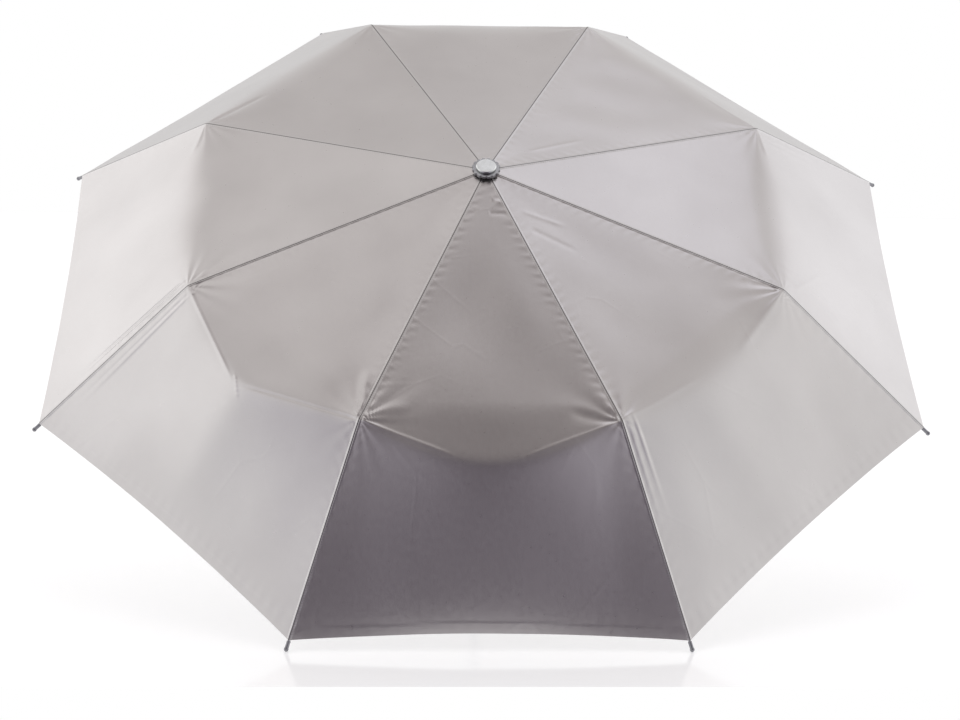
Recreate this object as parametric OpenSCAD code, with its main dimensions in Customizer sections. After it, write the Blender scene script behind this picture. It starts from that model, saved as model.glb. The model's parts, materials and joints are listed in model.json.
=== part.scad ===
// Folding reflective umbrella: eight three-section ribs on a telescopic shaft.
// Each part is drawn in the umbrella's own frame (axis +Z, crown at the top), and rest_pose() then lays
// the open umbrella on the ground, on two neighbouring rib tips and on the end of its stem.
// A rib's parts are drawn in its own plane, with u along the piece, w towards the cloth and t across.

/* [Canopy] */
// Radius of the cloth at a rib tip
hem_radius = 474; // [440:1:500]
// Radius at which each rib bends down
fold_radius = 311; // [290:1:330]
// Slope of the inner part of the canopy, in degrees
inner_slope = 8.2; // [6:0.1:11]
// Slope of the outer part of the canopy, in degrees
outer_slope = 38.7; // [34:0.1:42]
// How softly the cloth rounds the fold halfway between two ribs
fold_softness = 14; // [2:1:24]
// How far the hem is cut in between two ribs
hem_cut = 5; // [0:1:12]
// Thickness of the cloth
cloth = 0.4; // [0.3:0.1:0.8]

/* [Ribs] */
// Length of each of the two inner rib sections, hinge to hinge
section_length = 151.5; // [145:0.5:156]
// Distance from the hub hinge to the stretcher pin, and length of a stretcher
stretcher_length = 100; // [85:1:110]
// Height of the rib channels
rib_height = 3; // [2.4:0.2:3.4]
// Wall of the rib channels
rib_wall = 0.5; // [0.4:0.1:0.8]
// Radius of the outer rib's wire
wire_radius = 1.1; // [0.9:0.1:1.4]
// Radius of the tip caps
tip_cap_radius = 2.2; // [1.8:0.1:3]
// Length of the tip caps
tip_cap_length = 10; // [8:0.5:14]

/* [Hub] */
// Radius of the ring wire on which the top ribs hinge
hinge_radius = 11; // [10:0.5:13]
// Depth of that ring wire below the crown
hinge_depth = 11; // [10:0.5:13]
// Radius of the hub
hub_radius = 13; // [12:0.5:15]
// Radius of the top cap
cap_radius = 10; // [8:0.5:12]
// Radius of the crown washer
washer_radius = 14; // [13:0.5:16]
// Number of notches around the crown washer
washer_notches = 16; // [8:1:20]

/* [Shaft] */
// Distance from the crown to the end of the stem
shaft_length = 550; // [540:1:560]
// Radius of the stem
stem_radius = 4; // [3.9:0.05:4]
// Wall of the top tube and of the stem
tube_wall = 0.6; // [0.5:0.05:0.7]
// Outer radius of the top tube
top_tube_radius = 5.5; // [5.5:0.05:5.6]
// Depth below the crown at which the top tube ends
top_tube_end = 240; // [238:1:246]
// Depth below the crown at which the middle tube ends
middle_tube_end = 390; // [385:1:395]
// Length of tube left inside the tube above it when the shaft is drawn out
tube_overlap = 25; // [20:1:30]

/* [Runner] */
// Radius of the runner's sleeve
sleeve_radius = 8.4; // [8:0.1:8.4]
// Length of the runner's sleeve below its ring wire
sleeve_length = 24; // [20:1:25]
// Radius of the runner's flange
flange_radius = 12.5; // [11.5:0.5:13.5]
// Radius of the runner's button
button_radius = 2.4; // [2:0.1:2.5]
// How far the button presses in
button_travel = 1; // [0.5:0.1:1]

/* [Hidden] */
$fn = 48;
rib_count = 8;
half_gore = 180 / rib_count;
function names(base) = [for (i = [1:rib_count]) str(base, "_", i)];

// Fits and small pins
slide_fit = 0.1;
neck_radius = stem_radius - 0.25;
pin_radius = 0.7;
pin_fit = 0.08;
rod_pin_radius = 0.5;
open_pivot_fit = 0.85;
// Turns a link rod at rest so that its open pivot's play is shared over the whole fold, in degrees
rod_set = 0.8;
ring_wire = 0.6;
runner_ring_wire = 0.45;
runner_ring_radius = 9;
button_seat = 6.2;
button_drop = 14;

// Offsets in the rib's plane, measured from the line through the hub hinge and the stretcher pin
rib_half = rib_height / 2;
stretcher_height = 2.4;
centre_w = rib_half + stretcher_height / 2 + 0.4;
over_pivot = 3.9;
under_pivot = 1.7;
joint_radius = 1.3;
crank = 10;
crank_turn = inner_slope;

// Half widths across the rib's plane
top_half = 1.5;
mid_half = 1.3;
stretcher_half = 1.1;
ear = 0.6;
crank_t = 2.35;
rod_t = crank_t + ear + 0.1;
rod_thick = 0.6;

// A point in a rib's plane is [radius, height]. along() goes u along a slope and w towards the cloth.
function along(point, slope, u, w) =
    [point[0] + u * cos(slope) + w * sin(slope), point[1] - u * sin(slope) + w * cos(slope)];
hub_hinge = [hinge_radius, -hinge_depth];
mid_hinge = along(hub_hinge, inner_slope, section_length, centre_w + over_pivot);
outer_hinge = along(mid_hinge, inner_slope, section_length, -over_pivot - under_pivot);
stretcher_pin = along(hub_hinge, inner_slope, stretcher_length, 0);
runner_z = -hinge_depth - 2 * stretcher_length * sin(inner_slope);

// The cloth's line over a rib
fold_z = -fold_radius * tan(inner_slope);
hem_z = fold_z - (hem_radius - fold_radius) * tan(outer_slope);
hole_radius = 5;
rib_end = along([hem_radius, hem_z], outer_slope, 0, -wire_radius - 0.7);
outer_angle = atan2(outer_hinge[1] - rib_end[1], rib_end[0] - outer_hinge[0])
    + asin(under_pivot / norm(rib_end - outer_hinge));
outer_length = norm(rib_end - outer_hinge) + tip_cap_length + 0.6;
tip_centre = along(outer_hinge, outer_angle, outer_length - tip_cap_radius, under_pivot);

// Cloth: q goes from -1 to 1 between two ribs, and each column of points runs from the crown to the hem
// at row = rows. The rows crowd towards the fold, where the height is a soft minimum of the two slopes.
columns = 6;
inner_rows = 3;
outer_rows = 4;
rows = inner_rows + outer_rows;
rib_softness = 1;
function radius_at(row, q) = row <= inner_rows
    ? hole_radius + (fold_radius - hole_radius) * sin(90 * row / inner_rows)
    : fold_radius + (hem_radius - hem_cut * (1 - q * q) - fold_radius)
        * (1 - cos(90 * (row - inner_rows) / outer_rows));
function soft_minimum(a, b, softness) = (a + b - sqrt((a - b) * (a - b) + softness * softness)) / 2;
function height_at(r, q) = soft_minimum(
    -r * tan(inner_slope),
    fold_z - (r - fold_radius) * tan(outer_slope),
    rib_softness + fold_softness * (1 - q * q));
function cloth_point(gore, row, q) =
    let (r = radius_at(row, q), middle = rib_azimuth(gore) + half_gore,
        out = r * cos(half_gore), across = q * r * sin(half_gore))
    [out * cos(middle) - across * sin(middle), out * sin(middle) + across * cos(middle), height_at(r, q)];
cloth_points = [for (gore = [1:rib_count], c = [0:columns - 1], row = [0:rows])
    cloth_point(gore, row, 2 * c / columns - 1)];

// Resting on the ground: the stem end's ball and two tip caps' balls touch one plane
stem_ball = [0, -shaft_length + stem_radius];
tip_ball = [-tip_centre[0] * cos(half_gore), tip_centre[1]];
lean = atan2(-tip_ball[0], tip_ball[1] - stem_ball[1])
    - asin((stem_radius - tip_cap_radius) / norm(tip_ball - stem_ball));
tilt = 90 - lean;
ground = stem_radius - stem_ball[1] * cos(tilt);
function laid_y(y, z) = y * cos(tilt) - z * sin(tilt);
front_y = min([for (p = cloth_points) laid_y(p[1], p[2])]);
back_y = laid_y(-tip_ball[0], tip_ball[1]) + tip_cap_radius;

function rib_azimuth(i) = -90 - half_gore + 2 * half_gore * i;

// Frames and small shapes
module rest_pose() {
    translate([0, -(front_y + back_y) / 2, ground]) rotate([tilt, 0, 0]) children();
}
module in_rib(i) {
    rest_pose() rotate([0, 0, rib_azimuth(i)]) children();
}
module laid_along(point, slope) {
    translate([point[0], 0, point[1]]) rotate([0, slope, 0]) children();
}
module plate(t0, t1) {
    translate([0, t1, 0]) rotate([90, 0, 0]) linear_extrude(t1 - t0) children();
}
module both_sides(t0, t1) {
    plate(t0, t1) children();
    plate(-t1, -t0) children();
}
module cross_pin(u, w, radius, t0, t1) {
    translate([u, t1, w]) rotate([90, 0, 0]) cylinder(r = radius, h = t1 - t0);
}
module cross_bore(u, w, radius) {
    cross_pin(u, w, radius, -8, 8);
}
module bar(u0, u1, w, half) {
    translate([u0, w - half]) square([u1 - u0, 2 * half]);
}
// A folded-steel channel, open on its lower side
module channel(u0, u1, w, half, height) {
    difference() {
        plate(-half, half) bar(u0, u1, w, height / 2);
        plate(-half + rib_wall, half - rib_wall) bar(u0 - 1, u1 + 1, w - rib_wall, height / 2);
    }
}
module ring(radius, wire) {
    rotate_extrude() translate([radius, 0]) circle(wire);
}
module tube(radius, wall, z0, z1) {
    translate([0, 0, z0]) difference() {
        cylinder(r = radius, h = z1 - z0);
        translate([0, 0, -1]) cylinder(r = radius - wall, h = z1 - z0 + 2);
    }
}
// Slots around a flange, one for each rib
module rib_slots(inner, outer, z0, z1, half) {
    for (i = [1:rib_count])
        rotate([0, 0, rib_azimuth(i)])
            translate([inner, -half, z0]) cube([outer - inner, 2 * half, z1 - z0]);
}

// Canopy
module canopy() {
    side = rib_count * columns;
    count = side * (rows + 1);
    below = [for (p = cloth_points) [p[0], p[1], p[2] - cloth]];
    function at(column, row) = (column % side) * (rows + 1) + row;
    upper = [for (c = [0:side - 1], r = [0:rows - 1], half = [0, 1]) half == 0
        ? [at(c, r), at(c + 1, r + 1), at(c, r + 1)]
        : [at(c, r), at(c + 1, r), at(c + 1, r + 1)]];
    lower = [for (f = upper) [f[2] + count, f[1] + count, f[0] + count]];
    rims = [for (c = [0:side - 1], half = [0, 1], hem = [0, 1])
        let (a = at(c, hem * rows), b = at(c + 1, hem * rows), face = half == 0 ? [a, b, b + count]
            : [a, b + count, a + count])
        hem == 1 ? face : [face[2], face[1], face[0]]];
    color("silver") rest_pose()
        polyhedron(points = concat(cloth_points, below), faces = concat(upper, lower, rims), convexity = 6);
}

// Crown
module top_cap() {
    color("gainsboro") rest_pose() difference() {
        translate([0, 0, 3.4]) rotate_extrude()
            polygon([[0, 0], [cap_radius - 0.5, 0], [cap_radius, 0.5], [cap_radius, 1.8],
                [cap_radius - 0.7, 2.6], [0, 2.6]]);
        translate([0, 0, 3]) cylinder(r = 2.05, h = 2);
    }
}
module crown_washer() {
    color("dimgray") rest_pose() difference() {
        translate([0, 0, 0.8]) cylinder(r = washer_radius, h = 2.5);
        cylinder(r = 3.1, h = 5);
        for (n = [0:washer_notches - 1])
            rotate([0, 0, n * 360 / washer_notches])
                translate([washer_radius + 0.3, 0, 0]) cylinder(r = 1.5, h = 5);
    }
}
module top_notch() {
    color("#222222") rest_pose() difference() {
        union() {
            translate([0, 0, -hinge_depth - 5]) cylinder(r = hub_radius, h = 11);
            translate([0, 0, -hinge_depth]) cylinder(r = 3, h = hinge_depth + 3);
            cylinder(r = 2, h = 5);
            translate([0, 0, -hinge_depth - 14]) cylinder(r = top_tube_radius - tube_wall - 0.05, h = 10);
        }
        rib_slots(7.6, hub_radius + 1, -hinge_depth - 6, -hinge_depth + 8, top_half + 0.4);
        translate([0, 0, -hinge_depth]) ring(hinge_radius, ring_wire + 0.05);
    }
}
module notch_wire() {
    color("gainsboro") rest_pose() translate([0, 0, -hinge_depth]) ring(hinge_radius, ring_wire);
}

// Shaft
module top_tube() {
    color("silver") rest_pose() tube(top_tube_radius, tube_wall, -top_tube_end, -hinge_depth - 5);
}
module middle_tube() {
    outer = top_tube_radius - tube_wall - slide_fit;
    color("silver") rest_pose()
        tube(outer, outer - stem_radius - slide_fit, -middle_tube_end, -top_tube_end + tube_overlap);
}
module bottom_tube() {
    color("silver") rest_pose() {
        tube(stem_radius, tube_wall, stem_ball[1], -middle_tube_end - 2);
        tube(neck_radius, neck_radius - stem_radius + tube_wall, -middle_tube_end - 2,
            -middle_tube_end + tube_overlap);
    }
}
module stem_cap() {
    color("#222222") rest_pose() difference() {
        union() {
            translate([0, 0, stem_ball[1]]) sphere(stem_radius);
            translate([0, 0, stem_ball[1]]) cylinder(r = stem_radius - tube_wall - 0.05, h = 12);
        }
        translate([0, 0, stem_ball[1]]) difference() {
            cylinder(r = stem_radius + 1, h = 8);
            translate([0, 0, -1]) cylinder(r = stem_radius - tube_wall - 0.05, h = 10);
        }
    }
}

// Runner
module runner() {
    color("#222222") rest_pose() translate([0, 0, runner_z]) difference() {
        union() {
            translate([0, 0, -sleeve_length]) cylinder(r = sleeve_radius, h = sleeve_length + 4);
            translate([0, 0, -4]) cylinder(r = flange_radius, h = 8);
        }
        translate([0, 0, -sleeve_length - 1]) cylinder(r = top_tube_radius + slide_fit, h = sleeve_length + 6);
        rib_slots(sleeve_radius, flange_radius + 1, -5, 5, stretcher_half + 0.4);
        ring(runner_ring_radius, runner_ring_wire + 0.05);
        button_pocket();
    }
}
module button_pocket() {
    translate([0, -button_seat, -button_drop]) rotate([90, 0, 0]) cylinder(r = button_radius + slide_fit, h = 6);
}
module runner_wire() {
    color("gainsboro") rest_pose() translate([0, 0, runner_z]) ring(runner_ring_radius, runner_ring_wire);
}
module runner_button() {
    color("dimgray") rest_pose() translate([0, -button_seat - button_travel - 0.2, runner_z - button_drop])
        rotate([90, 0, 0]) cylinder(r = button_radius, h = 2.8);
}

// Rib sections
module top_rib(i) {
    pivot_u = section_length;
    pivot_w = centre_w + over_pivot;
    top = centre_w + rib_half;
    color("lightgray") in_rib(i) laid_along(hub_hinge, inner_slope) difference() {
        union() {
            channel(5, pivot_u - 6, centre_w, top_half, rib_height);
            plate(-top_half, top_half) {
                circle(2);
                polygon([[-1.8, 0.8], [0, top], [6, top], [6, top - rib_height], [1.6, -1.2]]);
            }
            both_sides(top_half - 0.01, top_half + ear) {
                translate([stretcher_length, 0]) circle(1.8);
                translate([stretcher_length, 0])
                    polygon([[-3.2, top], [3.2, top], [1.8, 0], [-1.8, 0]]);
                translate([pivot_u, pivot_w]) circle(joint_radius);
                translate([pivot_u, pivot_w])
                    polygon([[-13, -over_pivot - rib_half], [-13, -over_pivot + rib_half], [-0.7, 1.1],
                        [1.1, -0.7], [-4, -over_pivot - rib_half]]);
            }
        }
        cross_bore(0, 0, ring_wire + 0.2);
        cross_bore(stretcher_length, 0, pin_radius + pin_fit);
        cross_bore(pivot_u, pivot_w, pin_radius + pin_fit);
    }
}
module mid_rib(i) {
    low = -over_pivot;
    pivot_w = low - under_pivot;
    end = section_length;
    color("lightgray") in_rib(i) laid_along(mid_hinge, inner_slope) {
        difference() {
            union() {
                channel(5, end - 6, low, mid_half, rib_height);
                plate(-mid_half, mid_half) {
                    circle(joint_radius);
                    polygon([[-1.1, -0.7], [0.9, 0.9], [6, low + rib_half], [6, low - rib_half],
                        [2.4, low - rib_half]]);
                }
                both_sides(mid_half - 0.01, mid_half + ear) {
                    translate([end, pivot_w]) circle(1.8);
                    polygon([[end - 13, low - rib_half], [end - 13, low + rib_half],
                        [end - 3, low + rib_half], [end + 1.7, pivot_w + 0.6], [end - 1, pivot_w - 1.6]]);
                }
            }
            cross_bore(end, pivot_w, pin_radius + pin_fit);
        }
        cross_pin(0, 0, pin_radius, -crank_t - 0.15, crank_t + 0.1);
        plate(crank_t, crank_t + ear) rotate(crank_turn) {
            circle(joint_radius);
            translate([-crank, 0]) circle(1.4);
            bar(-crank, 0, 0, 1.1);
        }
        rotate([0, -crank_turn, 0]) cross_pin(-crank, 0, rod_pin_radius, crank_t, rod_t + rod_thick + 0.1);
    }
}
module outer_rib(i) {
    color("lightgray") in_rib(i) laid_along(outer_hinge, outer_angle) {
        translate([4, 0, under_pivot]) rotate([0, 90, 0])
            cylinder(r = wire_radius, h = outer_length - 4 - tip_cap_length / 2);
        plate(-1, 1) {
            circle(1.5);
            polygon([[-1.3, 0.8], [1, under_pivot + wire_radius], [8, under_pivot + wire_radius],
                [8, under_pivot - wire_radius], [1.2, -0.9]]);
        }
        cross_pin(0, 0, pin_radius, -mid_half - ear - 0.3, mid_half + ear + 0.3);
    }
}
module tip_cap(i) {
    color("gray") in_rib(i) laid_along(outer_hinge, outer_angle)
        translate([outer_length - tip_cap_length, 0, under_pivot]) rotate([0, 90, 0]) difference() {
            union() {
                cylinder(r = tip_cap_radius - 0.4, h = tip_cap_length - tip_cap_radius);
                translate([0, 0, tip_cap_length - tip_cap_radius]) sphere(tip_cap_radius);
            }
            translate([0, 0, -1]) cylinder(r = wire_radius + 0.05, h = tip_cap_length / 2 + 1);
        }
}

// Stretchers and link rods
module stretcher(i) {
    reach = stretcher_length;
    half = stretcher_height / 2;
    color("lightgray") in_rib(i) laid_along(stretcher_pin, -inner_slope) {
        channel(-reach + 5, -4, 0, stretcher_half, stretcher_height);
        plate(-stretcher_half, stretcher_half) {
            circle(1.6);
            bar(-5, 0, 0, half);
            translate([-reach, 0]) circle(half);
            bar(-reach, -reach + 6, 0, half);
        }
        cross_pin(0, 0, pin_radius, -top_half - ear - 0.3, top_half + ear + 0.3);
        cross_pin(-crank, 0, rod_pin_radius, 0, rod_t + rod_thick + 0.1);
    }
}
module link_rod(i) {
    from = along(stretcher_pin, -inner_slope, -crank, 0);
    to = along(mid_hinge, inner_slope - crank_turn, -crank, 0);
    reach = norm(to - from);
    slope = atan2(from[1] - to[1], to[0] - from[0]) + rod_set;
    color("lightgray") in_rib(i) laid_along(from, slope) difference() {
        plate(rod_t, rod_t + rod_thick) {
            circle(1.3);
            bar(0, reach, 0, 0.9);
            translate([reach, 0]) circle(2);
        }
        cross_bore(0, 0, rod_pin_radius + pin_fit);
        cross_bore(reach, 0, rod_pin_radius + open_pivot_fit);
    }
}

canopy();
top_cap();
crown_washer();
top_notch();
notch_wire();
top_tube();
middle_tube();
bottom_tube();
stem_cap();
runner();
runner_wire();
runner_button();
for (i = [1:rib_count]) {
    top_rib(i);
    mid_rib(i);
    outer_rib(i);
    tip_cap(i);
    stretcher(i);
    link_rod(i);
}
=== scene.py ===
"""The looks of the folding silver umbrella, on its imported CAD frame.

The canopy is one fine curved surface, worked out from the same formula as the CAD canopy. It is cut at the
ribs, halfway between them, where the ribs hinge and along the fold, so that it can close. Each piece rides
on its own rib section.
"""

import json
import math

import bpy
import numpy as np
from mathutils import Matrix, Vector


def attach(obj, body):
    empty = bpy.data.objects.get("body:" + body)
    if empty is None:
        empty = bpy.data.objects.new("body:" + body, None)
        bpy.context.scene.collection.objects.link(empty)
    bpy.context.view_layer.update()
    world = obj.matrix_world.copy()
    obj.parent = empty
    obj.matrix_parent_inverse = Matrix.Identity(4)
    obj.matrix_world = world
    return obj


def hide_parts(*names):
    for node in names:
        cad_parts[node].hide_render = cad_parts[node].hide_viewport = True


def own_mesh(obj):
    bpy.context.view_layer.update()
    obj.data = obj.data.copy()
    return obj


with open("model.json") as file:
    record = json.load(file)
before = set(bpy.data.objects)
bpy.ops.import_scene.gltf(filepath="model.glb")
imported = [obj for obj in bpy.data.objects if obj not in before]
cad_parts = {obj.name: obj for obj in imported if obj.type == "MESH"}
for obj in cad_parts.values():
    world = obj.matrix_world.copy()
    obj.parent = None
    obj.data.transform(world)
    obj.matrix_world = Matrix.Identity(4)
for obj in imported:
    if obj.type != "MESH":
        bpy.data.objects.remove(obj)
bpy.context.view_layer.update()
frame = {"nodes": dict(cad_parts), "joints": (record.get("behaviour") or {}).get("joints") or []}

# ---------------------------------------------------------------- the umbrella's own axes, from the joints
JOINTS = {joint["name"]: joint for joint in frame["joints"]}
RIB_COUNT = 8
RIBS = range(1, RIB_COUNT + 1)
HALF_GORE = math.pi / RIB_COUNT
# How far the ribs' hinges lie under the crown
HINGE_DEPTH = 0.011


def unit(v):
    """v at length 1, along its last axis."""
    v = np.asarray(v, float)
    return v / np.linalg.norm(v, axis=-1, keepdims=True)


def after(rib):
    """The next rib round the canopy."""
    return rib % RIB_COUNT + 1


def hinge_of(kind, rib):
    """Where that section of a rib hinges."""
    return np.array(JOINTS[f"{kind}_{rib}_hinge"]["pos_m"])


UP = -unit(JOINTS["runner_slide"]["axis"])
HUB = np.mean([hinge_of("top_rib", rib) for rib in RIBS], axis=0)
CROWN = HUB + UP * HINGE_DEPTH
OUT = {rib: unit(hinge_of("top_rib", rib) - HUB) for rib in RIBS}
MIDDLE = {rib: unit(OUT[rib] + OUT[after(rib)]) for rib in RIBS}
ACROSS = {rib: np.cross(UP, MIDDLE[rib]) for rib in RIBS}

# ---------------------------------------------------------------- sizes of the canopy, in metres
# Radii of the hole at the crown, of the ribs' hinges and of the hem at a rib
HOLE_RADIUS = 0.005
FIRST_HINGE_RADIUS = float(np.linalg.norm(np.cross(hinge_of("mid_rib", 1) - CROWN, UP)))
FOLD_RADIUS = 0.311
HEM_RADIUS = 0.474
# How far the hem is cut in halfway between two ribs
HEM_CUT = 0.005
# How steeply the canopy falls inside and outside its fold, and how deep the fold lies under the crown
INNER_SLOPE = math.radians(8.2)
OUTER_SLOPE = math.radians(38.7)
FOLD_Z = -FOLD_RADIUS * math.tan(INNER_SLOPE)
# How round the fold is at a rib, and how much rounder it is halfway between two ribs
RIB_SOFTNESS = 0.001
FOLD_SOFTNESS = 0.014
# Thickness of the cloth, and half the width and the height of a seam
CLOTH = 0.0003
SEAM_HALF = 0.0026
SEAM_HEIGHT = 0.00035
# Inside this radius a seam narrows, so that it keeps within its gores
SEAM_START = 0.006
# The seam's section: two soft ridges with a groove between them, as shares of its half width and height
SEAM_PROFILE = [(0.0, 0.12), (0.10, 0.35), (0.26, 1.0), (0.48, 0.75), (0.75, 0.3), (1.0, 0.0)]

# The grid: columns of a gore, rows of a section, and how much closer the outer rows lie near the fold
COLUMNS = 92
SECTIONS = ("top", "mid", "outer")
SECTION_ROWS = {"top": 40, "mid": 50, "outer": 92}
OUTER_CROWDING = 1.25
# How far the fold bows out halfway between two ribs, and how round the bow's tip is, for each gore
FOLD_BOW = {gore: (0.010, 1.0) for gore in RIBS} | {1: (0.018, 1.0), 7: (0.044, 0.10), 8: (0.044, 0.4)}
# How far the bowed fold sags and how much sharper it is, as shares of its bow, and where the sag begins
BOW_SAG = 0.10
BOW_SHARPNESS = 0.2
SAG_START = FOLD_RADIUS - 0.02
# The small steps over which the surface's own slope is taken
R_STEP = 2e-4
Q_STEP = 1e-3
# How far apart two gores' textures start, so that no two gores look the same
TEXTURE_SHIFT = 0.5


# ---------------------------------------------------------------- the canopy's surface
def soft_minimum(a, b, softness):
    """The smaller of a and b, with the corner where they meet rounded off."""
    return (a + b - np.sqrt((a - b) ** 2 + softness**2)) / 2


def bell(distance, width):
    """1 at distance 0, falling away on both sides over width."""
    return np.exp(-((distance / width) ** 2))


def smooth(low, high, value):
    """0 up to low and 1 from high on, with a smooth step between."""
    t = np.clip((value - low) / (high - low), 0, 1)
    return t * t * (3 - 2 * t)


def hem_radius(q):
    """Radius of the hem. q runs from -1 at a gore's first rib to 1 at its second, here and below."""
    return HEM_RADIUS - HEM_CUT * (1 - q * q)


def fold_bow(gore, q):
    """How far the fold bows out at q."""
    most, tip = FOLD_BOW[gore]
    return most * (1 - (np.hypot(q, tip) - tip) / (math.hypot(1, tip) - tip))


def section_radius(section, gore, share, q):
    """Radius at a share of a section's length. Sections meet where the ribs hinge, and along the fold."""
    fold = FOLD_RADIUS + fold_bow(gore, q)
    if section == "top":
        return HOLE_RADIUS + (FIRST_HINGE_RADIUS - HOLE_RADIUS) * share + 0 * q
    if section == "mid":
        return FIRST_HINGE_RADIUS + (fold - FIRST_HINGE_RADIUS) * np.sin(share * math.pi / 2)
    return fold + (hem_radius(q) - fold) * share**OUTER_CROWDING


def tight_height(gore, r, q):
    """Height of the tight cloth over the crown's plane: the CAD canopy, with its fold bowed out."""
    bow, hem = fold_bow(gore, q), hem_radius(q)
    fold = FOLD_RADIUS + bow
    inner = -r * math.tan(INNER_SLOPE) - BOW_SAG * bow * smooth(SAG_START, fold, r)
    fold_height = -fold * math.tan(INNER_SLOPE) - BOW_SAG * bow
    hem_height = FOLD_Z - (hem - FOLD_RADIUS) * math.tan(OUTER_SLOPE)
    outer = hem_height + (hem - r) * (fold_height - hem_height) / (hem - fold)
    softness = RIB_SOFTNESS + (FOLD_SOFTNESS - BOW_SHARPNESS * FOLD_BOW[gore][0]) * (1 - q * q)
    return soft_minimum(inner, outer, softness)


# ---------------------------------------------------------------- the canopy's wrinkles
# The fold joint of a gore's rib, in the gore's own plane: x runs along the hem and y away from the crown
JOINT_X, JOINT_Y = FOLD_RADIUS * math.sin(HALF_GORE), FOLD_RADIUS * math.cos(HALF_GORE)
# Creases that start at a fold joint: gore, side of the gore, end in the gore's plane, width and height
JOINT_CREASES = [
    (8, -1, (-0.028, 0.323), 0.0018, 0.0005),
    (8, 1, (0.022, 0.325), 0.0018, 0.0004),
    (8, -1, (-0.070, 0.272), 0.0050, 0.0008),
    (8, 1, (0.070, 0.279), 0.0050, -0.0007),
    (7, -1, (-0.004, 0.331), 0.0018, 0.0009),
    (7, 1, (-0.004, 0.331), 0.0014, -0.0005),
    (7, 1, (0.085, 0.245), 0.0045, 0.0010),
    (1, -1, (-0.020, 0.300), 0.0026, 0.0005),
    (1, 1, (0.030, 0.304), 0.0040, 0.0007),
    (5, 1, (0.040, 0.280), 0.0030, -0.0010),
    (6, -1, (-0.080, 0.300), 0.0030, 0.0007),
    (2, 1, (0.080, 0.296), 0.0026, 0.0005),
    (3, -1, (-0.035, 0.296), 0.0026, 0.0006),
    (4, -1, (-0.030, 0.296), 0.0026, 0.0005),
]
# Creases elsewhere: gore, start, end, width and height
FREE_CREASES = [
    (7, (-0.010, 0.324), (0.008, 0.338), 0.0014, 0.0004),
    (2, (-0.110, 0.300), (-0.055, 0.340), 0.0024, 0.0003),
    (8, (0.004, 0.036), (0.020, 0.042), 0.0020, 0.0003),
    (8, (0.002, 0.052), (0.022, 0.054), 0.0022, -0.0003),
    (1, (-0.010, 0.060), (0.010, 0.100), 0.0026, 0.0002),
    (1, (-0.020, 0.080), (-0.004, 0.130), 0.0030, -0.0002),
    (3, (-0.004, 0.060), (-0.024, 0.120), 0.0026, 0.0002),
]
CREASES = FREE_CREASES + [
    (gore, (side * JOINT_X, JOINT_Y), end, width, height)
    for gore, side, end, width, height in JOINT_CREASES
]
# How a crease begins and ends, as shares of its length
CREASE_BEGIN = (-0.05, 0.1)
CREASE_END = (0.7, 1.05)
# Loose folds that run out beside a rib: gore, side, distance from the rib, pitch, height, and end radius
LOOSE_FOLDS = [
    (6, 1, 0.003, 0.006, 0.0011, 0.470),
    (7, -1, 0.003, 0.006, 0.0009, 0.470),
    (1, -1, 0.004, 0.007, 0.0007, 0.400),
    (2, 1, 0.005, 0.009, 0.0003, 0.420),
    (2, -1, 0.020, 0.014, 0.0004, 0.440),
]
TURN = 2 * math.pi
rng = np.random.default_rng(8)
# Soft tension waves of each gore: direction, wavelength, phase and share of the full steepness
WAVE_COUNT = 7
WAVES = {
    gore: [
        (rng.uniform(0, math.pi), rng.uniform(0.05, 0.16), rng.uniform(0, TURN), rng.uniform(0.2, 1.0))
        for _ in range(WAVE_COUNT)
    ]
    for gore in RIBS
}
# Height of the steepest wave as a share of its length, and the distance from a rib over which waves grow
WAVE_STEEPNESS = 0.0022
WAVE_FADE = 0.05
# Fans of small puckers at each gore's two fold joints: number in a turn, phase and share of the full height
PUCKERS = {
    gore: [(rng.uniform(9, 15), rng.uniform(0, TURN), rng.uniform(0.5, 1.0)) for _ in range(2)]
    for gore in RIBS
}
# Full height of a pucker, how far it reaches from the joint, and the distance over which it grows
PUCKER_HEIGHT = 0.0004
PUCKER_REACH = 0.045
PUCKER_START = 0.012
# Share of a pucker's height that is lost past the fold joint, and over which stretch
PUCKER_LOSS = 0.8
PUCKER_EDGE = (-0.004, 0.010)
# Loose folds: how much they spread towards the hem, how they begin past the fold, and how they run out
SPREAD = 0.6
LOOSE_START = (FOLD_RADIUS - 0.005, FOLD_RADIUS + 0.02)
LOOSE_FADE = 0.08
# Ripples along the seams and the hem: height, pitch, distance from the rib or the hem, and width
SEAM_RIPPLE = (0.00010, 0.0115, 0.004, 0.006)
HEM_RIPPLE = (0.00006, 0.013, 0.009, 0.006)
# The doubled cloth of the hem: height, and where its step begins and ends
HEM_FOLD = (0.00016, 0.0065, 0.0085)
# The cloth lies flat on a rib over this distance
RIB_HOLD = 0.004


def crease(x, y, start, end, width, height):
    """A narrow ridge from start to end, which fades out at both ends."""
    (x0, y0), (x1, y1) = start, end
    length = math.hypot(x1 - x0, y1 - y0)
    along = ((x - x0) * (x1 - x0) + (y - y0) * (y1 - y0)) / length**2
    side = ((x - x0) * (y1 - y0) - (y - y0) * (x1 - x0)) / length
    fade = smooth(*CREASE_BEGIN, along) * (1 - smooth(*CREASE_END, along))
    return height * bell(side, width) * fade


def waves(gore, x, y, from_rib):
    """Soft tension waves, which fade out towards the ribs."""
    h = np.zeros_like(x)
    for angle, length, phase, share in WAVES[gore]:
        turn = TURN * (x * math.cos(angle) + y * math.sin(angle)) / length + phase
        h += WAVE_STEEPNESS * share * length * np.sin(turn)
    return h * smooth(0, WAVE_FADE, from_rib)


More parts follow.
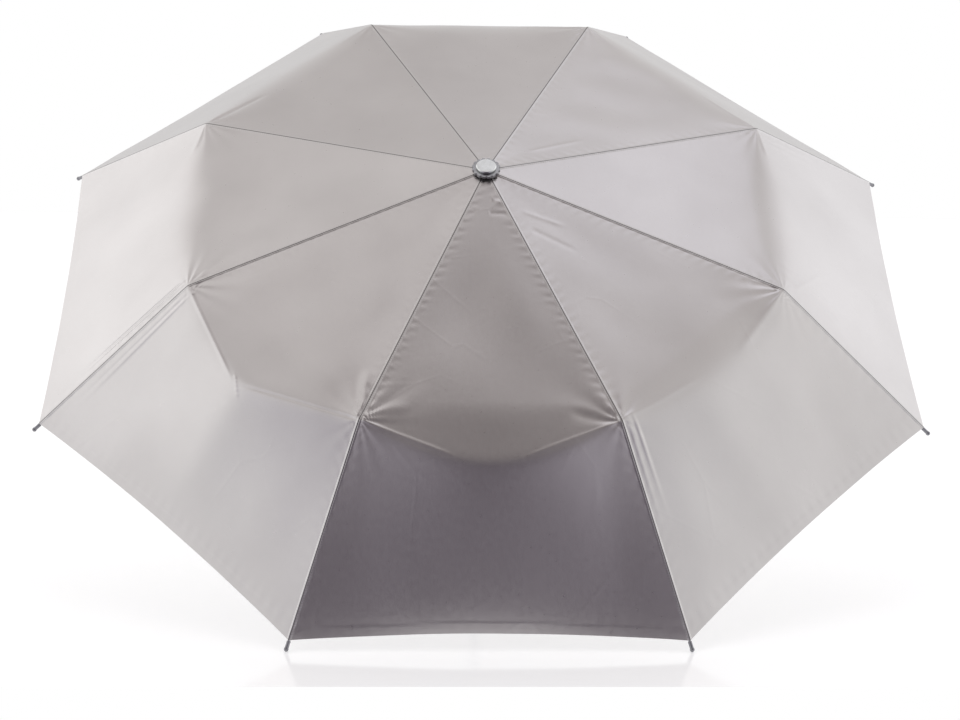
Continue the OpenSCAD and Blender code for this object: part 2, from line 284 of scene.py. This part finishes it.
def puckers(gore, x, y):
    """Small puckers that fan out from the gore's two fold joints."""
    h = np.zeros_like(x)
    for (count, phase, share), side in zip(PUCKERS[gore], (-1, 1)):
        dx, dy = side * x - JOINT_X, y - JOINT_Y
        distance, angle = np.hypot(dx, dy), np.arctan2(dy, -dx)
        fade = bell(distance, PUCKER_REACH) * smooth(0, PUCKER_START, distance)
        fade *= 1 - PUCKER_LOSS * smooth(*PUCKER_EDGE, dy)
        h += PUCKER_HEIGHT * share * np.sin(count * angle + phase) * fade
    return h


def loose_folds(gore, r, q):
    """Folds of slack cloth that run out beside a rib."""
    h = np.zeros_like(r)
    for owner, side, first, pitch, height, end in LOOSE_FOLDS:
        if owner == gore:
            beside = (1 - side * q) * r * math.sin(HALF_GORE) * (FOLD_RADIUS / r) ** SPREAD
            fold = height * np.sin(math.pi * np.clip((beside - first) / pitch, 0, 2)) ** 2
            h += fold * smooth(*LOOSE_START, r) * (1 - smooth(end - LOOSE_FADE, end, r))
    return h


def ripple(kind, position, phase, distance):
    """A row of small ripples along a line of stitches."""
    height, pitch, middle, width = kind
    return height * np.sin(TURN * position / pitch + phase) * bell(distance - middle, width)


def relief(gore, r, q):
    """Height of a gore's wrinkles over the tight cloth. It is 0 on both ribs."""
    x, y = q * r * math.sin(HALF_GORE), r * math.cos(HALF_GORE)
    from_rib = (1 - np.abs(q)) * r * math.sin(HALF_GORE)
    from_hem = hem_radius(q) - r
    h = waves(gore, x, y, from_rib) + puckers(gore, x, y) + loose_folds(gore, r, q)
    for owner, *shape in CREASES:
        if owner == gore:
            h += crease(x, y, *shape)
    h += ripple(SEAM_RIPPLE, r, 3 * q, from_rib) + ripple(HEM_RIPPLE, x, gore, from_hem)
    height, begin, end = HEM_FOLD
    h += height * (1 - smooth(begin, end, from_hem))
    return h * smooth(0, RIB_HOLD, from_rib)


def place(gore, r, q):
    """Points of the canopy's outer face."""
    height = tight_height(gore, r, q) + relief(gore, r, q)
    out, across = r * math.cos(HALF_GORE), q * r * math.sin(HALF_GORE)
    in_gore = out[..., None] * MIDDLE[gore] + across[..., None] * ACROSS[gore]
    return CROWN + in_gore + height[..., None] * UP


def face_normal(gore, r, q):
    """The outer face's own normals, so that neighbouring pieces shade as one sheet."""
    low, high = np.clip(q - Q_STEP, -1, 1), np.clip(q + Q_STEP, -1, 1)
    along = place(gore, r + R_STEP, q) - place(gore, r - R_STEP, q)
    across = place(gore, r, high) - place(gore, r, low)
    return unit(np.cross(along, across))


# ---------------------------------------------------------------- meshes
def mesh_object(name, points, faces, normals=None, uv=None):
    """A smooth-shaded mesh object from arrays; uv holds one pair for each point."""
    mesh = bpy.data.meshes.new(name)
    mesh.from_pydata(points.tolist(), [], faces.tolist())
    mesh.polygons.foreach_set("use_smooth", np.ones(len(mesh.polygons), bool))
    if uv is not None:
        layer = mesh.uv_layers.new(name="cloth")
        corners = np.zeros(len(mesh.loops), np.int32)
        mesh.loops.foreach_get("vertex_index", corners)
        layer.data.foreach_set("uv", uv[corners].astype(np.float32).ravel())
    if normals is not None:
        mesh.normals_split_custom_set_from_vertices(normals.tolist())
    mesh.update()
    obj = bpy.data.objects.new(name, mesh)
    bpy.context.scene.collection.objects.link(obj)
    return obj


def shell(name, outer, normals, thickness, uv):
    """A closed thin sheet. Its outer face is a grid of points, with its inner face thickness behind it."""
    rows, columns = outer.shape[:2]
    index = np.arange(rows * columns).reshape(rows, columns)
    a, b, c, d = index[:-1, :-1], index[1:, :-1], index[1:, 1:], index[:-1, 1:]
    front = np.stack([a, b, c, d], -1).reshape(-1, 4)
    behind = front[:, ::-1] + rows * columns
    edge = np.concatenate([index[:, 0], index[-1, 1:], index[-2::-1, -1], index[0, -2:0:-1]])
    after_edge = np.roll(edge, -1)
    rim = np.stack([edge, edge + rows * columns, after_edge + rows * columns, after_edge], -1)
    points = np.concatenate([outer.reshape(-1, 3), (outer - normals * thickness).reshape(-1, 3)])
    directions = np.concatenate([normals.reshape(-1, 3), -normals.reshape(-1, 3)])
    faces = np.concatenate([front, behind, rim])
    return mesh_object(name, points, faces, directions, np.concatenate([uv, uv]))


def quad(corner, first, second):
    """Points and faces of a flat rectangle."""
    corner, first, second = (np.array(v, float) for v in (corner, first, second))
    points = np.array([corner, corner + first, corner + first + second, corner + second])
    return points, np.array([[0, 1, 2, 3]])


# ---------------------------------------------------------------- materials
# Roughness of the metallic coat over its grain
CLOTH_GLOSS = [(0.25, 0.27), (0.75, 0.33)]
# Share of its brightness that metal keeps under handling marks
MARKED_SHARE = 0.86


def new_material(name):
    """A new material, with its node tree and its Principled shader."""
    material = bpy.data.materials.new(name)
    material.use_nodes = True
    return material, material.node_tree, material.node_tree.nodes["Principled BSDF"]


def coordinates(tree, kind):
    """Texture coordinates of that kind: UV, Object or Generated."""
    return tree.nodes.new("ShaderNodeTexCoord").outputs[kind]


def share_of(tree, source, low, high, interpolation="LINEAR"):
    """Where source lies between low and high, from 0 to 1."""
    node = tree.nodes.new("ShaderNodeMapRange")
    node.interpolation_type = interpolation
    node.inputs["From Min"].default_value = low
    node.inputs["From Max"].default_value = high
    tree.links.new(source, node.inputs["Value"])
    return node.outputs["Result"]


def absolute(tree, source):
    """The size of source without its sign."""
    node = tree.nodes.new("ShaderNodeMath")
    node.operation = "ABSOLUTE"
    tree.links.new(source, node.inputs[0])
    return node.outputs["Value"]


def split_axes(tree, vector):
    """The X, Y and Z outputs of a vector."""
    node = tree.nodes.new("ShaderNodeSeparateXYZ")
    tree.links.new(vector, node.inputs["Vector"])
    return node.outputs


def texture(tree, kind, vector, **settings):
    """A texture node of that kind, fed by vector; the settings are its sockets' values."""
    node = tree.nodes.new(kind)
    for socket, value in settings.items():
        node.inputs[socket.replace("_", " ")].default_value = value
    tree.links.new(vector, node.inputs["Vector"])
    return node


def ramp(tree, source, stops):
    """The colour of a ramp at source; stops are (position, grey or colour)."""
    node = tree.nodes.new("ShaderNodeValToRGB")
    elements = node.color_ramp.elements
    while len(elements) < len(stops):
        elements.new(0.5)
    for element, (position, colour) in zip(elements, stops):
        element.position = position
        rgb = (colour,) * 3 if isinstance(colour, (int, float)) else colour
        element.color = (*rgb, 1)
    tree.links.new(source, node.inputs["Fac"])
    return node.outputs["Color"]


def bump(tree, height, strength, distance, base=None):
    """A normal bumped by height, on top of the base normal if there is one."""
    node = tree.nodes.new("ShaderNodeBump")
    node.inputs["Strength"].default_value = strength
    node.inputs["Distance"].default_value = distance
    tree.links.new(height, node.inputs["Height"])
    if base is not None:
        tree.links.new(base, node.inputs["Normal"])
    return node.outputs["Normal"]


def mixed(tree, kind, first):
    """A colour mix node of that kind, at full strength, with its first colour linked."""
    node = tree.nodes.new("ShaderNodeMix")
    node.data_type, node.blend_type = "RGBA", kind
    node.inputs["Factor"].default_value = 1
    tree.links.new(first, node.inputs["A"])
    return node


def multiplied(tree, first, second):
    """The product of two colours."""
    node = mixed(tree, "MULTIPLY", first)
    tree.links.new(second, node.inputs["B"])
    return node.outputs["Result"]


def feed(tree, shader, **sources):
    """Links each source to the shader's socket of that name."""
    for socket, source in sources.items():
        tree.links.new(source, shader.inputs[socket.replace("_", " ")])


def silver_cloth():
    """Silver-coated satin: a fine weave under a metallic coat, a little uneven and faintly crinkled."""
    material, tree, shader = new_material("silver_cloth")
    uv = coordinates(tree, "UV")
    weft = texture(tree, "ShaderNodeTexWave", uv, Scale=330.0, Distortion=0.3, Detail=1.0)
    warp = texture(tree, "ShaderNodeTexWave", uv, Scale=420.0, Distortion=0.2, Detail=1.0)
    warp.bands_direction = "Y"
    grain = texture(tree, "ShaderNodeTexNoise", uv, Scale=260.0, Detail=3.0, Roughness=0.6)
    cloudy = texture(tree, "ShaderNodeTexNoise", uv, Scale=9.0, Detail=3.0, Roughness=0.5)
    rumple = texture(tree, "ShaderNodeTexNoise", uv, Scale=55.0, Detail=4.0, Roughness=0.55)
    cells = texture(tree, "ShaderNodeTexVoronoi", uv, Scale=15.0)
    cells.feature = "DISTANCE_TO_EDGE"
    lines = ramp(tree, cells.outputs["Distance"], [(0.0, 1.0), (0.035, 0.0)])
    creased = ramp(tree, cloudy.outputs["Fac"], [(0.48, 0.0), (0.62, 1.0)])
    normal = bump(tree, weft.outputs["Fac"], strength=0.10, distance=0.00005)
    normal = bump(tree, warp.outputs["Fac"], strength=0.08, distance=0.00005, base=normal)
    normal = bump(tree, rumple.outputs["Fac"], strength=0.12, distance=0.0006, base=normal)
    normal = bump(tree, multiplied(tree, lines, creased), strength=0.12, distance=0.0003, base=normal)
    tone = ramp(tree, cloudy.outputs["Fac"], [(0.30, (0.61, 0.585, 0.58)), (0.70, (0.67, 0.645, 0.64))])
    gloss = ramp(tree, grain.outputs["Fac"], CLOTH_GLOSS)
    feed(tree, shader, Base_Color=tone, Roughness=gloss, Normal=normal)
    shader.inputs["Metallic"].default_value = 1.0
    shader.inputs["Sheen Weight"].default_value = 0.08
    shader.inputs["Sheen Roughness"].default_value = 0.4
    return material


def seam_cloth():
    """The sewn seam over each rib: the same cloth, with painted shade coloured dark down its middle, where
    the thread draws the cloth in.
    """
    material, tree, shader = new_material("seam_cloth")
    uv = coordinates(tree, "UV")
    aside = absolute(tree, split_axes(tree, uv)["X"])
    # Painted shade: the seam's middle is coloured dark for the shade that falls in the groove between its
    # ridges
    painted_groove_shade_stops = [(0.10, (0.16, 0.15, 0.15)), (0.24, (0.66, 0.64, 0.635))]
    painted_groove_shade = ramp(tree, share_of(tree, aside, 0, SEAM_HALF), painted_groove_shade_stops)
    stitch = texture(tree, "ShaderNodeTexWave", uv, Scale=130.0, Distortion=0.4, Detail=1.0)
    stitch.bands_direction = "Y"
    thread = ramp(tree, stitch.outputs["Fac"], [(0.1, 0.90), (0.5, 1.0)])
    weave = texture(tree, "ShaderNodeTexNoise", uv, Scale=300.0, Detail=3.0, Roughness=0.6)
    gloss = ramp(tree, weave.outputs["Fac"], CLOTH_GLOSS)
    normal = bump(tree, stitch.outputs["Fac"], strength=0.06, distance=0.0002)
    normal = bump(tree, weave.outputs["Fac"], strength=0.10, distance=0.0001, base=normal)
    feed(tree, shader, Base_Color=multiplied(tree, painted_groove_shade, thread), Roughness=gloss, Normal=normal)
    shader.inputs["Metallic"].default_value = 1.0
    return material


def brushed(name, colour, roughness, grain=(900.0, 900.0, 40.0), strength=0.12):
    """Drawn or brushed metal, with a fine grain and faint handling marks."""
    material, tree, shader = new_material(name)
    position = coordinates(tree, "Object")
    stretched = tree.nodes.new("ShaderNodeMapping")
    stretched.inputs["Scale"].default_value = grain
    tree.links.new(position, stretched.inputs["Vector"])
    lines = texture(tree, "ShaderNodeTexNoise", stretched.outputs["Vector"], Scale=1.0, Detail=3.0)
    marks = texture(tree, "ShaderNodeTexNoise", position, Scale=120.0, Detail=4.0)
    marked = tuple(MARKED_SHARE * channel for channel in colour)
    tone = ramp(tree, marks.outputs["Fac"], [(0.3, marked), (0.62, colour)])
    gloss = ramp(tree, lines.outputs["Fac"], [(0.3, roughness * 0.75), (0.7, min(1.0, roughness * 1.25))])
    normal = bump(tree, lines.outputs["Fac"], strength=strength, distance=0.00004)
    feed(tree, shader, Base_Color=tone, Roughness=gloss, Normal=normal)
    shader.inputs["Metallic"].default_value = 1.0
    return material


def nylon(name, colour, roughness):
    """Moulded nylon with a fine spark-eroded grain, a little paler where it is worn."""
    material, tree, shader = new_material(name)
    position = coordinates(tree, "Object")
    grain = texture(tree, "ShaderNodeTexNoise", position, Scale=1400.0, Detail=3.0)
    wear = texture(tree, "ShaderNodeTexNoise", position, Scale=90.0, Detail=4.0)
    worn = tuple(1.25 * channel + 0.01 for channel in colour)
    tone = ramp(tree, wear.outputs["Fac"], [(0.35, colour), (0.75, worn)])
    gloss = ramp(tree, wear.outputs["Fac"], [(0.3, roughness), (0.8, min(1.0, roughness + 0.15))])
    normal = bump(tree, grain.outputs["Fac"], strength=0.25, distance=0.00006)
    feed(tree, shader, Base_Color=tone, Roughness=gloss, Normal=normal)
    return material


def flatten(piece):
    """Gives a piece its own copy of its mesh."""
    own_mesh(piece)


def canopy_piece(gore, section, side, material):
    """Half a gore along one rib section. side is -1 at the gore's first rib and 1 at its second."""
    rib = gore if side < 0 else after(gore)
    across, half = np.linspace(-1, 1, COLUMNS + 1), COLUMNS // 2
    q = across[: half + 1] if side < 0 else across[half:]
    share, q = np.meshgrid(np.linspace(0, 1, SECTION_ROWS[section] + 1), q, indexing="ij")
    r = section_radius(section, gore, share, q)
    outer, normals = place(gore, r, q), face_normal(gore, r, q)
    u, v = q * r * math.sin(HALF_GORE) + TEXTURE_SHIFT * gore, r * math.cos(HALF_GORE)
    uv = np.stack([u, v], -1).reshape(-1, 2)
    piece = shell(f"cloth_{section}_{rib}_{'a' if side < 0 else 'b'}", outer, normals, CLOTH, uv)
    piece.data.materials.append(material)
    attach(piece, f"{section}_rib_{rib}")
    flatten(piece)
    return piece


def seam_piece(rib, section, material):
    """The sewn seam over one rib section: a narrow raised strip over the edges of two gores."""
    profile = [(-x, z) for x, z in SEAM_PROFILE[:0:-1]] + SEAM_PROFILE
    offsets, lift = np.array(profile).T * [[SEAM_HALF], [SEAM_HEIGHT]]
    share = np.linspace(0, 1, 2 * SECTION_ROWS[section] + 1)
    before = (rib - 2) % RIB_COUNT + 1
    points = []
    for offset, height in zip(offsets, lift):
        gore, rib_q = (rib, -1) if offset >= 0 else (before, 1)
        r = section_radius(section, gore, share, np.full_like(share, rib_q))
        q = rib_q * (1 - abs(offset) / (np.maximum(r, SEAM_START) * math.sin(HALF_GORE)))
        points.append(place(gore, r, q) + face_normal(gore, r, q) * height)
    outer = np.stack(points, 1)
    normals = unit(np.cross(np.gradient(outer, axis=0), np.gradient(outer, axis=1)))
    steps = np.linalg.norm(np.diff(outer[:, len(SEAM_PROFILE) - 1], axis=0), axis=1)
    run = np.concatenate([[0], np.cumsum(steps)])
    uv = np.stack(np.meshgrid(run, offsets, indexing="ij")[::-1], -1).reshape(-1, 2)
    piece = shell(f"seam_{section}_{rib}", outer, normals, SEAM_HEIGHT + CLOTH / 2, uv)
    piece.data.materials.append(material)
    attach(piece, f"{section}_rib_{rib}")
    return piece


def build_canopy():
    """The half-gore pieces, which stand for the CAD canopy together, and the seams over the ribs."""
    cloth, seam = silver_cloth(), seam_cloth()
    pieces = [canopy_piece(g, s, side, cloth) for g in RIBS for s in SECTIONS for side in (-1, 1)]
    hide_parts("canopy")
    for rib in RIBS:
        for section in SECTIONS:
            seam_piece(rib, section, seam)


# ---------------------------------------------------------------- CAD nodes that stay
def dress_frame():
    """Gives every CAD node that stays its material, by its name."""
    steel = brushed("rib_steel", (0.55, 0.56, 0.58), 0.34)
    tube = brushed("shaft_metal", (0.70, 0.71, 0.73), 0.20, grain=(300.0, 300.0, 300.0), strength=0.05)
    cap = brushed("cap_metal", (0.74, 0.75, 0.74), 0.18, grain=(260.0, 260.0, 260.0), strength=0.05)
    washer = brushed("washer_metal", (0.40, 0.40, 0.41), 0.20)
    tip = brushed("tip_metal", (0.30, 0.30, 0.32), 0.36)
    black = nylon("black_nylon", (0.022, 0.022, 0.024), 0.45)
    grey = nylon("grey_nylon", (0.10, 0.10, 0.105), 0.45)
    own = {
        "top_cap": cap,
        "crown_washer": washer,
        "top_notch": black,
        "runner": black,
        "stem_cap": black,
        "runner_button": grey,
        "top_tube": tube,
        "middle_tube": tube,
        "bottom_tube": tube,
    }
    for name, node in frame["nodes"].items():
        material = own.get(name) or (tip if name.startswith("tip_cap") else steel)
        node.data.materials.clear()
        node.data.materials.append(material)


# ---------------------------------------------------------------- camera, floor and light
# The photograph's view. Angles are in degrees: azimuth 0 is in front of the object, and 90 on its right
CAMERA_AZIMUTH, CAMERA_ELEVATION, CAMERA_ROLL = -1.85, 7.64, 0.56
CAMERA_TARGET = (-0.0008, -0.0119, 0.2215)
CAMERA_DISTANCE = 2.106
LENS, SENSOR_WIDTH = 75.06, 36
# Brightness of the room's walls from behind the camera (0) to behind the object (1), and of its ceiling
ROOM_WALLS = [
    (0.0, (0.38, 0.36, 0.42)),
    (0.15, (0.46, 0.45, 0.49)),
    (0.28, 0.68),
    (0.50, 0.96),
    (0.72, 0.96),
    (1.0, 0.66),
]
ROOM_CEILING = (0.555, 0.537, 0.53)
# The heights of a direction between which the walls turn into the ceiling
CEILING_EDGE = (0.25, 0.95)
ROOM_LEVEL = 1.2
# The dark strip over and behind the camera: its middle, and how much of the room's light is left towards it
STRIP_DIRECTION = (0.0, -1.0, 0.4)
STRIP_NARROWNESS = 1.1
STRIP = [
    (0.0, 1.0),
    (0.20, 1.0),
    (0.40, (0.94, 0.915, 0.92)),
    (0.62, (0.40, 0.375, 0.38)),
    (0.85, (0.34, 0.315, 0.32)),
    (1.0, (0.275, 0.255, 0.26)),
]
# The table ends just in front of the object, so that the front gore mirrors the dark side of the room
TABLE_FRONT = -0.45
TABLE_REACH = 6
# The soft boxes: name, azimuth, elevation, side in metres, power in watts and colour
BOX_TARGET = (0, 0, 0.3)
BOX_DISTANCE = 2.4
WHITE = (1, 1, 1)
COOL = (0.82, 0.86, 1.0)
SOFT_BOXES = [
    ("left_box", -121, 33, 1.6, 2.0, WHITE),
    ("left_fill", -58, 22, 1.6, 1.3, WHITE),
    ("left_top_box", -75, 70, 1.3, 1.0, WHITE),
    ("right_box", 123, 29, 1.6, 1.3, COOL),
    ("right_top_box", 109, 72, 1.3, 2.2, COOL),
]


def towards(azimuth, elevation):
    """The direction from the object at those angles."""
    a, e = math.radians(azimuth), math.radians(elevation)
    return Vector((math.sin(a) * math.cos(e), -math.cos(a) * math.cos(e), math.sin(e)))


def make_camera():
    """The photograph's view: a long lens a little above the horizon, about two metres away."""
    camera = bpy.data.objects.new("camera", bpy.data.cameras.new("camera"))
    camera.data.lens = LENS
    camera.data.sensor_width = SENSOR_WIDTH
    back = towards(CAMERA_AZIMUTH, CAMERA_ELEVATION)
    roll = Matrix.Rotation(math.radians(CAMERA_ROLL), 3, "Z")
    camera.location = Vector(CAMERA_TARGET) + CAMERA_DISTANCE * back
    camera.rotation_euler = (back.to_track_quat("Z", "Y").to_matrix() @ roll).to_euler()
    bpy.context.scene.collection.objects.link(camera)
    bpy.context.scene.camera = camera


def soft_box(name, azimuth, elevation, side, power, colour):
    """A square soft box that faces the object."""
    back = towards(azimuth, elevation)
    data = bpy.data.lights.new(name, "AREA")
    data.shape, data.size, data.size_y = "RECTANGLE", side, side
    data.energy, data.color = power, colour
    light = bpy.data.objects.new(name, data)
    light.location = Vector(BOX_TARGET) + BOX_DISTANCE * back
    light.rotation_euler = back.to_track_quat("Z", "Y").to_euler()
    bpy.context.scene.collection.objects.link(light)


def room_colour(tree, axes):
    """The walls by their depth, and the ceiling above them."""
    walls = ramp(tree, share_of(tree, axes["Y"], -1, 1), ROOM_WALLS)
    room = mixed(tree, "MIX", walls)
    room.inputs["B"].default_value = (*ROOM_CEILING, 1)
    tree.links.new(share_of(tree, axes["Z"], *CEILING_EDGE, "SMOOTHSTEP"), room.inputs["Factor"])
    return room.outputs["Result"]


def strip_shade(tree, direction, axes):
    """The share of the room's light that the dark strip leaves."""
    forward = tree.nodes.new("ShaderNodeVectorMath")
    forward.operation = "DOT_PRODUCT"
    forward.inputs[1].default_value = STRIP_DIRECTION
    tree.links.new(direction, forward.inputs[0])
    strip = tree.nodes.new("ShaderNodeMath")
    strip.operation = "MULTIPLY_ADD"
    strip.inputs[1].default_value = -STRIP_NARROWNESS
    tree.links.new(absolute(tree, axes["X"]), strip.inputs[0])
    tree.links.new(forward.outputs["Value"], strip.inputs[2])
    return ramp(tree, strip.outputs["Value"], STRIP)


def light_world():
    """A pale room, bright beside and behind the object, dark behind the camera, and seen white by it."""
    world = bpy.data.worlds.new("studio")
    bpy.context.scene.world = world
    world.use_nodes = True
    tree = world.node_tree
    direction = coordinates(tree, "Generated")
    axes = split_axes(tree, direction)
    light = tree.nodes["Background"]
    light.inputs["Strength"].default_value = ROOM_LEVEL
    shaded = multiplied(tree, room_colour(tree, axes), strip_shade(tree, direction, axes))
    tree.links.new(shaded, light.inputs["Color"])
    seen = tree.nodes.new("ShaderNodeBackground")
    seen.inputs["Color"].default_value = (*WHITE, 1)
    which = tree.nodes.new("ShaderNodeMixShader")
    tree.links.new(tree.nodes.new("ShaderNodeLightPath").outputs["Is Camera Ray"], which.inputs["Fac"])
    tree.links.new(light.outputs["Background"], which.inputs[1])
    tree.links.new(seen.outputs["Background"], which.inputs[2])
    tree.links.new(which.outputs["Shader"], tree.nodes["World Output"].inputs["Surface"])


def make_table():
    """A white glossy table, lit a little from within so that it fades into the white around it."""
    material, _, shader = new_material("white_table")
    shader.inputs["Base Color"].default_value = (0.90, 0.90, 0.91, 1)
    shader.inputs["Roughness"].default_value = 0.12
    shader.inputs["Emission Color"].default_value = (*WHITE, 1)
    shader.inputs["Emission Strength"].default_value = 0.37
    corner, width = (-TABLE_REACH, TABLE_FRONT, 0), (2 * TABLE_REACH, 0, 0)
    floor = mesh_object("floor", *quad(corner, width, (0, TABLE_REACH - TABLE_FRONT, 0)))
    floor.data.materials.append(material)


def make_studio():
    """The table, the room around it and the soft boxes at the sides and above."""
    make_table()
    light_world()
    for box in SOFT_BOXES:
        soft_box(*box)
    bpy.context.scene.view_settings.view_transform = "Standard"


make_camera()
make_studio()
dress_frame()
build_canopy()
